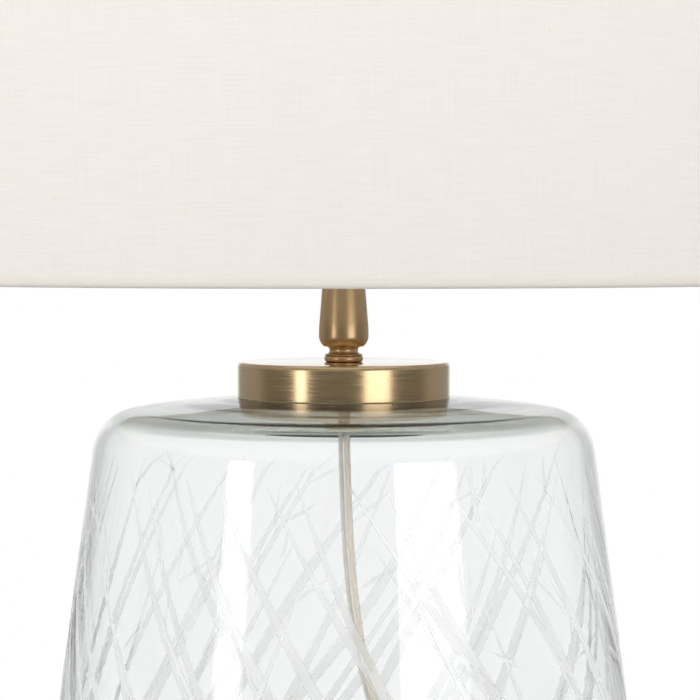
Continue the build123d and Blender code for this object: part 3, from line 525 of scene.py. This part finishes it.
inner_flex, inner_cores, inner_line = flex(
    "flex_hanging", inner_route, steps=10, held=EXIT_ACROSS, replaced=["flex_inner"])
tail_flex, tail_cores, tail_line = flex(
    "flex_to_switch", tail_route, steps=10, held=None, replaced=["flex_tail"])
coil_flex, coil_cores, coil_line = flex(
    "flex_put_away", put_away_route, steps=3, held=None, replaced=["flex_lead", "flex_coil", "flex_end"])


# Glass vessel with a thick collar, slightly wavy as blown glass is
def clear_glass():
    """Clear glass, a little green where it is thick, with painted shade on its dome: tinted grey there in
    place of the dark surroundings that the dome reflects.
    """
    finish = finish_named("clear_glass")
    smears = finish.grain(scale=18, detail=3)
    height = finish.axes()[2]
    # Painted shade: the dome's glass is tinted grey in place of the dark reflections it shows
    dome = finish.between(height, SHOULDER_Z - DOME_WALL, SHOULDER_Z)
    finish.surface(Base_Color=finish.tint(dome, (1, 1, 1), (0.46, 0.49, 0.455)),
                   Roughness=finish.between(smears, 0.55, 0.9) * 0.03, Transmission_Weight=1.0, IOR=1.5)
    tint = finish.add("ShaderNodeVolumeAbsorption", None, {"Color": (0.80, 0.88, 0.85, 1), "Density": 26.0})
    finish.fill(finish.tree.nodes["Material Output"], {"Volume": tint})
    return finish.owner


def vessel_outline():
    """The vessel's section, from the middle of its underside round to the middle of its floor."""
    floor_z = FOOT_Z + GLASS_FLOOR
    inner_shoulder_z = SHOULDER_Z - DOME_WALL
    mouth_z = COLLAR_ROOT - MOUTH_WALL
    punt_curve = (PUNT_R**2 + PUNT_RISE**2) / (2 * PUNT_RISE)
    dome = crown((SHOULDER_R, SHOULDER_Z), (COLLAR_R, COLLAR_ROOT), DOME_CURVE, DOME_STEPS)
    inner_foot = (wall_r(floor_z) - WALL_ACROSS, floor_z)
    inner_shoulder = (wall_r(inner_shoulder_z) - WALL_ACROSS, inner_shoulder_z)
    inner_dome = crown((MOUTH_R, mouth_z), inner_shoulder, INNER_DOME_CURVE, DOME_STEPS)
    first_dome_step = DOME_STEPS // 3
    corners = crown((0, FOOT_Z + PUNT_RISE), (PUNT_R, FOOT_Z), punt_curve, PUNT_STEPS)
    corners.append((FOOT_R, FOOT_Z, FOOT_FILLET))
    corners.append((SHOULDER_R, SHOULDER_Z, SHOULDER_FILLET))
    corners += dome[first_dome_step:-1]
    corners.append((COLLAR_R, COLLAR_ROOT, COLLAR_ROUND / 2))
    corners.append((COLLAR_R, COLLAR_TOP, COLLAR_ROUND))
    corners.append((MOUTH_R, COLLAR_TOP, COLLAR_ROUND))
    corners.append((MOUTH_R, mouth_z, COLLAR_ROUND))
    corners += inner_dome[1:-first_dome_step]
    corners.append((*inner_shoulder, SHOULDER_FILLET - DOME_WALL))
    corners.append((*inner_foot, FOOT_FILLET - WALL))
    corners += crown((PUNT_R, floor_z), (0, floor_z + PUNT_RISE), punt_curve, PUNT_STEPS)
    return rounded(corners, steps=12)


WAVE_SIZE = 40 * MM
WAVE_DEPTH = 0.22 * MM
RIPPLE_SIZE = 9 * MM
RIPPLE_DEPTH = 0.08 * MM
RIPPLE_BREAKS = 1.5
BLOW_FADE = 12 * MM


def under_dome(r, z):
    """Whether a point is on the inside of the dome, clear of the shoulder and the mouth."""
    lowest = SHOULDER_Z - SHOULDER_FILLET / 2
    return lowest < z < dome_z(r) - DOME_WALL / 2 and r < SHOULDER_R - SHOULDER_FILLET


def blow(piece):
    """Gives the vessel's walls the slow waves of blown glass, and the underside of its dome fine rings."""
    for vertex in piece.data.vertices:
        from_axis = Vector((vertex.co.x, vertex.co.y, 0))
        radius = from_axis.length
        fade = min(1, (radius - CAP_R) / BLOW_FADE)
        if fade > 0:
            outward = from_axis.normalized()
            wave = noise.noise(vertex.co / WAVE_SIZE)
            if under_dome(radius, vertex.co.z):
                ripple = noise.noise(outward * RIPPLE_BREAKS + UP * radius / RIPPLE_SIZE)
                vertex.co += UP * ripple * RIPPLE_DEPTH * fade
            vertex.co += outward * wave * WAVE_DEPTH * fade


vessel_line = vessel_outline()
vessel = spun("glass_vessel", vessel_line, clear_glass(), VESSEL_STEPS, closed=False)
blow(dress(vessel, "base", "clear_glass", "glass_base"))


# Satin strokes cut into the vessel's wall, with their leans in degrees and their lengths in millimetres
STROKE_SEED = 11
STROKES = 60
LOW_EVERY = 3
MIRRORED_EVERY = 10
STROKE_LIFT = 0.05 * MM
STROKE_TOP = 256 * MM
STROKE_END = 24 * MM
STROKE_ROWS = 14
LOW_TIP_DROP = 42 * MM
TIP_SCATTER = (0, 14)
LEANS = (26, 35)
STROKE_LENGTHS = (150, 220)
STROKE_WIDTHS = (2.1, 3.0)
TWIG_ROWS = 5
MOST_TWIGS = 2
TWIG_PLACES = (0.06, 0.5)
TWIG_SPREADS = (18, 34)
TWIG_LENGTHS = (14, 34)
TWIG_WIDTHS = (0.7, 1.2)
PLACE_SCATTER = 0.4
BOW = 0.06
ROW_CROWDING = 1.3
TIP_RISE = 1.9
TIP_POWER = 0.7
END_POWER = 8


def satin_cut():
    """Matt cut glass, thin along a stroke's edges and whiter along its middle."""
    finish = finish_named("satin_cut")
    across = finish.axes("UV")[0]
    inward = 1 - finish.maths("ABSOLUTE", across - 0.5) * 2
    speckle = finish.grain(scale=2600, detail=3)
    body = finish.between(inward, 0.0, 0.4)
    core = finish.between(inward, 0.1, 0.55)
    return finish.surface(Base_Color=finish.tint(core, (0.84, 0.845, 0.85), (0.98, 0.98, 0.98)),
                          Roughness=0.3 + 0.1 * speckle, Transmission_Weight=0.82, IOR=1.15,
                          Alpha=(0.15 + 0.77 * body) * (0.95 + 0.1 * speckle),
                          Normal=finish.bump(speckle, depth=0.05 * MM, strength=0.05))


def skin_r(z):
    """Radius of the vessel's outside at height z, up to the top of its shoulder."""
    for low, high in zip(vessel_line, vessel_line[1:]):
        if high.x > CAP_R and low.y <= z < high.y:
            return low.x + (high.x - low.x) * (z - low.y) / (high.y - low.y)
    return wall_r(z)


def stroke(bm, rng, turn, tip_z, lean, length, width, lift, rows):
    """One tapered stroke on the wall: pointed at its tip, widest near its lower end."""
    middle_r = wall_r(tip_z - length / 2)
    bow = rng.uniform(-BOW, BOW) * length
    grid = bmesh.ops.create_grid(bm, x_segments=2, y_segments=rows, size=0.5, calc_uvs=True)
    for vertex in grid["verts"]:
        along = (vertex.co.y + 0.5) ** ROW_CROWDING
        half_width = width * min(1, TIP_RISE * along) ** TIP_POWER * (1 - along**END_POWER)
        across = 2 * vertex.co.x * half_width
        sideways = along * length * sin(lean) + bow * sin(pi * along) + across * cos(lean)
        z = tip_z - along * length * cos(lean) + across * sin(lean)
        angle = turn + sideways / middle_r
        radius = skin_r(z) + lift
        vertex.co = (radius * sin(angle), -radius * cos(angle), z)


def cut_strokes():
    """Long leaning strokes all round the wall, some with twigs: every third lower, every tenth mirrored."""
    rng = random.Random(STROKE_SEED)
    bm = bmesh.new()
    bm.loops.layers.uv.new("UVMap")
    for index in range(STROKES):
        low = (index + 1) % LOW_EVERY == 0
        mirrored = (index + 1) % MIRRORED_EVERY == 0
        turn = 2 * pi * (index + rng.uniform(-PLACE_SCATTER, PLACE_SCATTER)) / STROKES
        tip_z = STROKE_TOP - low * LOW_TIP_DROP - rng.uniform(*TIP_SCATTER) * MM
        lean = radians(rng.uniform(*LEANS)) * (-1 if mirrored else 1)
        length = min(rng.uniform(*STROKE_LENGTHS) * MM, (tip_z - STROKE_END) / cos(lean))
        width = rng.uniform(*STROKE_WIDTHS) * MM
        lift = STROKE_LIFT * (1 + index / STROKES)
        stroke(bm, rng, turn, tip_z, lean, length, width, lift, STROKE_ROWS)
        for _ in range(rng.randint(0, MOST_TWIGS)):
            along = rng.uniform(*TWIG_PLACES)
            root_z = tip_z - along * length * cos(lean)
            root_turn = turn + along * length * sin(lean) / wall_r(root_z)
            spread = lean + radians(rng.uniform(*TWIG_SPREADS)) * rng.choice((-1, 1))
            twig_length = rng.uniform(*TWIG_LENGTHS) * MM
            twig_tip = min(root_z + twig_length * cos(spread), STROKE_TOP)
            twig_turn = root_turn - twig_length * sin(spread) / wall_r(root_z)
            twig_width = rng.uniform(*TWIG_WIDTHS) * MM
            stroke(bm, rng, twig_turn, twig_tip, spread, twig_length, twig_width, lift, TWIG_ROWS)
    bmesh.ops.recalc_face_normals(bm, faces=bm.faces)
    return dress(as_object(bm, "cut_strokes", satin_cut()), "base", "clear_glass")


blow(cut_strokes())


# Brass cap, seat ring and turned neck
BRUSH_STRETCH = 40
POLISH_START = 0.4 * MM
POLISH_FULL = 0.1 * MM


def brushed_brass(name, colour, dark, lines, roughness, relief, polished_z):
    """Antique brass with fine lines round the axis, under lacquer, polished on its flat top at polished_z."""
    finish = finish_named(name)
    height = finish.axes()[2]
    polish = finish.between(height, polished_z - POLISH_START, polished_z - POLISH_FULL)
    along = lines / BRUSH_STRETCH
    brush = finish.grain(scale=1, detail=3, stretch=(along, along, lines), rough=0.7)
    patches = finish.grain(scale=45, detail=3)
    shade = finish.tint(finish.between(brush, 0.3, 0.7), dark, colour)
    shade = finish.tint(finish.between(patches, 0.45, 0.8) * 0.35, shade, dark)
    return finish.surface(Base_Color=shade, Metallic=1.0,
                          Roughness=(roughness + 0.3 * brush) * (1 - 0.75 * polish),
                          Coat_Weight=0.4, Coat_Roughness=0.12, Coat_IOR=1.6,
                          Normal=finish.bump(brush, depth=0.02 * MM, strength=relief))


cap_brass = brushed_brass(
    "brushed_brass", (0.74, 0.54, 0.31), (0.66, 0.47, 0.25), lines=2600, roughness=0.07, relief=0.35,
    polished_z=CAP_TOP)
neck_brass = brushed_brass(
    "aged_brass", (0.66, 0.45, 0.24), (0.60, 0.40, 0.20), lines=5200, roughness=0.17, relief=0.1,
    polished_z=neck_high[2])


def cap_outline():
    """Section of the spun cap: a flat top on a straight rim."""
    inside = CAP_R - CAP_WALL
    under = CAP_TOP - CAP_WALL
    return rounded([
        (TUBE_HOLE_R, CAP_TOP, 0), (CAP_R, CAP_TOP, CAP_EDGE), (CAP_R, CAP_RIM, CAP_RIM_ROUND),
        (inside, CAP_RIM, CAP_RIM_ROUND), (inside, under, CAP_RIM_ROUND), (TUBE_HOLE_R, under, 0),
    ])


def ring_outline():
    """Section of the seat ring under the neck."""
    radius = ring_high[0]
    rounding = (ring_high[2] - ring_low[2]) / 2 - SLIP
    return rounded([
        (TUBE_HOLE_R, ring_low[2], 0), (radius, ring_low[2], rounding), (radius, ring_high[2], rounding),
        (TUBE_HOLE_R, ring_high[2], 0),
    ])


def neck_outline():
    """Section of the turned neck, with radii and heights above its foot in millimetres."""
    height = (neck_high[2] - neck_low[2]) / MM
    points = [(7.4, 0, 0)]
    points += bead((7.4, 0), (7.6, 0.25), (7.4, 0.5), steps=4)
    points += bead((7.4, 0.5), (5.8, 1.6), (6.9, 3.6))
    points += [(7.9, 3.6, 0.2)]
    points += bead((7.9, 3.6), (9.445, 5.4), (10.0, 7.7))
    points += [(10.0, 10.7, 60), (7.7, height - 3, 0)]
    points += bead((7.7, height - 3), (8.4, height - 1.5), (7.7, height))
    points += [(TUBE_HOLE_R / MM, height, 0), (TUBE_HOLE_R / MM, 0, 0)]
    return [(r * MM, neck_low[2] + z * MM) for r, z in rounded(points)]


dress(spun("cap_shell", cap_outline(), cap_brass, CAP_STEPS), "base", "brushed_brass", "brass_cap")
dress(spun("neck_seat", ring_outline(), neck_brass, RING_STEPS), "base", "aged_brass", "seat_ring")
dress(spun("neck_turned", neck_outline(), neck_brass, NECK_STEPS), "base", "aged_brass", "turned_neck")


# Linen cover, rolled round both wires
LAP_EDGE = 0.4 * MM
# Heights above the lower edge where the painted shade under the rolled hem starts and where it is full
HEM_PAINTED_SHADE_TOP = 4.2 * MM
HEM_PAINTED_SHADE_FULL = 2.2 * MM


def linen_cloth(seam):
    """Pale linen: level slubs over finer upright threads, a few flax flecks, a lapped seam, and painted shade
    that darkens the cloth along its lower hem.
    """
    finish = finish_named("linen_cloth")
    slubs = finish.grain(scale=1, detail=4, stretch=(60, 1500, 1), source="UV", rough=0.6)
    threads = finish.grain(scale=1, detail=3, stretch=(1500, 40, 1), source="UV", rough=0.6)
    clouds = finish.grain(scale=9, detail=2, source="UV")
    flecks = finish.grain(scale=1, detail=1, stretch=(300, 460, 1), source="UV")
    around_drum, height, _ = finish.axes("UV")
    lap = finish.between(around_drum, seam, seam + LAP_EDGE)
    hem = finish.between(height, HEM_PAINTED_SHADE_TOP, HEM_PAINTED_SHADE_FULL)
    weave = 0.62 * slubs + 0.38 * threads
    colour = finish.tint(finish.between(weave, 0.32, 0.68), (0.856, 0.810, 0.757), (0.908, 0.865, 0.815))
    colour = finish.tint(finish.between(clouds, 0.4, 0.75) * 0.25, colour, (0.85, 0.805, 0.752))
    colour = finish.tint(finish.between(flecks, 0.77, 0.85) * 0.6, colour, (0.76, 0.66, 0.55))
    # Painted shade: the cloth darkens towards its lower hem, under the roll
    colour = finish.tint(hem * 0.5, colour, (0.80, 0.742, 0.672))
    return finish.surface(Base_Color=colour, Roughness=0.9, Sheen_Weight=0.12, Sheen_Roughness=0.5,
                          Normal=finish.bump(weave + lap, depth=0.18 * MM, strength=0.5))


def linen_outline():
    """Line of the cloth from its tuck inside the lower hem, over the wires, to its tuck at the top."""
    outer = DRUM_R - FABRIC / 2
    inner = outer - HEM_WIDTH
    low = linen_low[2] + FABRIC / 2
    high = linen_high[2] - FABRIC / 2
    return rounded([
        (inner, low + HEM_TUCK, 0), (inner, low, HEM_ROLL), (outer, low, HEM_ROLL), (outer, high, HEM_ROLL),
        (inner, high, HEM_ROLL), (inner, high - HEM_TUCK, 0),
    ], steps=10)


def linen_cover():
    """The drum's cloth, with its UV map in metres round the drum and up it."""
    girth = 2 * pi * DRUM_R
    cover = spun("linen_cover", linen_outline(), linen_cloth(girth / 2), LINEN_STEPS, closed=False)
    coordinates = cover.data.uv_layers.new(name="UVMap")
    for face in cover.data.polygons:
        places = [cover.data.vertices[index].co for index in face.vertices]
        angles = [Vector((place.x, place.y)).angle_signed(Vector((0, 1))) for place in places]
        wrapped = max(angles) - min(angles) > pi
        for loop, place, angle in zip(face.loop_indices, places, angles):
            share = (angle + (2 * pi if wrapped and angle < 0 else 0)) / (2 * pi)
            coordinates.data[loop].uv = ((share + 0.5) * girth, place.z - linen_low[2])
    wall = cover.modifiers.new("cloth", "SOLIDIFY")
    wall.thickness = FABRIC
    wall.offset = 0
    return dress(cover, "shade", "linen", "shade_fabric")


linen_cover()


# Finishes of the pieces that keep their own shape
LAMP_THREAD = 3.6 * MM
THREAD_DEPTH = 0.8 * MM
SCRATCH_DEPTH = 0.05 * MM


def moulded(name, colour, dark, grain_size, roughness, coat=0.0):
    """Moulded plastic or enamel with a fine grain."""
    finish = finish_named(name)
    grain = finish.grain(scale=1 / grain_size, detail=3)
    clouds = finish.grain(scale=60, detail=2)
    shade = finish.tint(finish.between(clouds, 0.35, 0.8) * 0.6, colour, dark)
    return finish.surface(Base_Color=shade, Roughness=roughness + 0.12 * grain, Coat_Weight=coat,
                          Normal=finish.bump(grain, depth=0.03 * MM, strength=0.4))


def plain_metal(name, colour, dark, roughness, pitch=None):
    """Plated metal with fine scratches, and a rolled thread where it has a pitch."""
    finish = finish_named(name)
    depth = THREAD_DEPTH if pitch else SCRATCH_DEPTH
    scratches = finish.grain(scale=700, detail=4, stretch=(1, 1, 6))
    relief = scratches * 0.1
    if pitch:
        x, y, z = finish.axes()
        turn = finish.maths("ARCTAN2", y, x) / (2 * pi)
        relief = relief + finish.maths("SINE", (z / pitch + turn) * (2 * pi)) * 0.5
    shade = finish.tint(finish.between(scratches, 0.4, 0.75), colour, dark)
    return finish.surface(Base_Color=shade, Metallic=1.0, Roughness=roughness + 0.15 * scratches,
                          Normal=finish.bump(relief, depth=depth, strength=0.8))


def opal(name):
    """Opal glass of the lamp."""
    finish = finish_named(name)
    clouds = finish.grain(scale=90, detail=3)
    return finish.surface(Base_Color=finish.tint(clouds, (0.90, 0.89, 0.87), (0.94, 0.935, 0.92)),
                          Roughness=0.22 + 0.08 * clouds, Coat_Weight=0.4, Subsurface_Weight=0.2,
                          Subsurface_Scale=0.01)


def soft_clear(name):
    """Clear soft plastic, a little cloudy."""
    finish = finish_named(name)
    clouds = finish.grain(scale=220, detail=3)
    return finish.surface(Base_Color=finish.tint(clouds, (0.86, 0.87, 0.87), (0.93, 0.94, 0.94)),
                          Roughness=0.25 + 0.2 * clouds, Transmission_Weight=0.75, IOR=1.45)


finishes = {
    "shade_lining": moulded(
        "lining_sheet", (0.92, 0.91, 0.89), (0.88, 0.87, 0.85), grain_size=1.2 * MM, roughness=0.55),
    "white_wire": moulded(
        "white_enamel", (0.90, 0.89, 0.87), (0.84, 0.83, 0.80), grain_size=0.4 * MM, roughness=0.3, coat=0.3),
    "holder_plastic": moulded(
        "holder_moulding", (0.88, 0.87, 0.84), (0.82, 0.81, 0.78), grain_size=0.3 * MM, roughness=0.42),
    "holder_ceramic": moulded(
        "holder_core", (0.80, 0.78, 0.74), (0.72, 0.70, 0.66), grain_size=0.5 * MM, roughness=0.3, coat=0.3),
    "plated_steel": plain_metal("plated_steel", (0.62, 0.62, 0.60), (0.45, 0.45, 0.44), roughness=0.28),
    "contact_brass": plain_metal("contact_brass", (0.72, 0.56, 0.30), (0.55, 0.41, 0.20), roughness=0.25),
    "opal_glass": opal("opal_lamp"),
    "lamp_metal": plain_metal(
        "lamp_thread", (0.74, 0.74, 0.73), (0.58, 0.58, 0.57), roughness=0.25, pitch=LAMP_THREAD),
    "lamp_insulator": moulded(
        "lamp_insulator", (0.03, 0.03, 0.035), (0.05, 0.05, 0.05), grain_size=0.4 * MM, roughness=0.15,
        coat=0.6),
    "clear_rubber": soft_clear("clear_rubber"),
    "white_plastic": moulded(
        "switch_moulding", (0.89, 0.89, 0.87), (0.84, 0.84, 0.82), grain_size=0.35 * MM, roughness=0.33,
        coat=0.15),
    "rocker_plastic": moulded(
        "rocker_moulding", (0.85, 0.85, 0.83), (0.79, 0.79, 0.77), grain_size=0.35 * MM, roughness=0.3,
        coat=0.2),
    "tie_plastic": moulded(
        "tie_plastic", (0.90, 0.90, 0.89), (0.82, 0.82, 0.81), grain_size=0.5 * MM, roughness=0.4),
    "pin_metal": plain_metal("pin_metal", (0.75, 0.74, 0.71), (0.6, 0.59, 0.56), roughness=0.18),
}
for subpart in frame["record"]["subparts"]:
    node = frame["nodes"][subpart["node"]]
    look = finishes.get(subpart["material_slot"])
    if look:
        node.data.materials.clear()
        node.data.materials.append(look)

# Floor, light and background, with bearings in radians from straight behind the lamp
FLOOR_R = 0.8
FLOOR_GLOW = 0.3
FLOOR_TONE = 0.6
AMBIENT = 1.55
AMBIENT_FALL = 0.07
SKY_FALL = 0.9
FRONT_LEVEL = 0.2
SIDE_LEVEL = 0.36
CLEAR_SIDE_LEVEL = 0.78
GLASS_GAIN = 1.4
TOP_LEVEL = 0.75
BACKDROP_EDGE = (0.24, 0.5)
FRONT_EDGE = (1.25, 1.6)
CEILING_EDGE = (0.35, 0.8)
SKY_EDGE = (0.25, 0.65)
BOX_DISTANCE = 1.5
BOX_HEIGHT = 0.43
BOX_LENGTH = 0.8


def pale_floor():
    """A pale table that keeps the lamp's shadow, and glows a little where it is seen."""
    finish = finish_named("pale_floor")
    seen = finish.ray("Is Camera Ray")
    for kind in ("Is Glossy Ray", "Is Transmission Ray"):
        seen = finish.maths("MAXIMUM", seen, finish.ray(kind))
    return finish.surface(Base_Color=(FLOOR_TONE, FLOOR_TONE, FLOOR_TONE, 1), Roughness=0.8,
                          Specular_IOR_Level=0.0, Emission_Color=finish.tint(seen, (0, 0, 0), (1, 1, 1)),
                          Emission_Strength=FLOOR_GLOW)


floor_mesh = bmesh.new()
bmesh.ops.create_circle(floor_mesh, cap_ends=True, segments=96, radius=FLOOR_R)
as_object(floor_mesh, "floor", pale_floor())


def light_studio(world):
    """A white backdrop, dimmer sides and front for reflections, and an even light for matt surfaces."""
    studio = Finish(world)
    side, depth, height = studio.axes("Generated")
    bearing = studio.maths("ABSOLUTE", studio.maths("ARCTAN2", side, depth))
    side_level = SIDE_LEVEL + studio.ray("Is Transmission Ray") * (CLEAR_SIDE_LEVEL - SIDE_LEVEL)
    room = 1 - studio.between(bearing, *BACKDROP_EDGE) * (1 - side_level)
    room = room - studio.between(bearing, *FRONT_EDGE) * (side_level - FRONT_LEVEL)
    ceiling = studio.between(height, *CEILING_EDGE)
    room = room * (1 - ceiling) + ceiling * TOP_LEVEL
    from_camera = studio.ray("Is Camera Ray")
    shown = from_camera + (1 - from_camera) * room
    scattered = studio.maths("MINIMUM", studio.ray("Diffuse Depth"), 1)
    crossed = studio.maths("MINIMUM", studio.ray("Transmission Depth") / 2, 1)
    ambient = (AMBIENT - AMBIENT_FALL * side) * (1 - studio.between(height, *SKY_EDGE) * SKY_FALL)
    ambient = ambient * (1 + GLASS_GAIN * crossed)
    strength = shown * (1 - scattered) + ambient * scattered
    studio.fill(studio.tree.nodes["Background"], {"Color": (1, 1, 1, 1), "Strength": strength})


scene.world = bpy.data.worlds.new("studio")
light_studio(scene.world)


def softbox(name, bearing_deg, width, radiance):
    """A soft strip light at a bearing from the camera's side of the lamp, facing its axis."""
    data = bpy.data.lights.new(name, "AREA")
    data.shape = "RECTANGLE"
    data.size = width
    data.size_y = BOX_LENGTH
    data.energy = radiance * pi * width * BOX_LENGTH
    box = bpy.data.objects.new(name, data)
    turn = radians(bearing_deg)
    box.location = (BOX_DISTANCE * sin(turn), -BOX_DISTANCE * cos(turn), BOX_HEIGHT)
    box.rotation_euler = (pi / 2, 0, turn)
    box.visible_camera = False
    box.visible_diffuse = False
    scene.collection.objects.link(box)


softbox("left_strip", bearing_deg=-46, width=0.3, radiance=3.0)
softbox("right_box", bearing_deg=36, width=0.76, radiance=2.2)
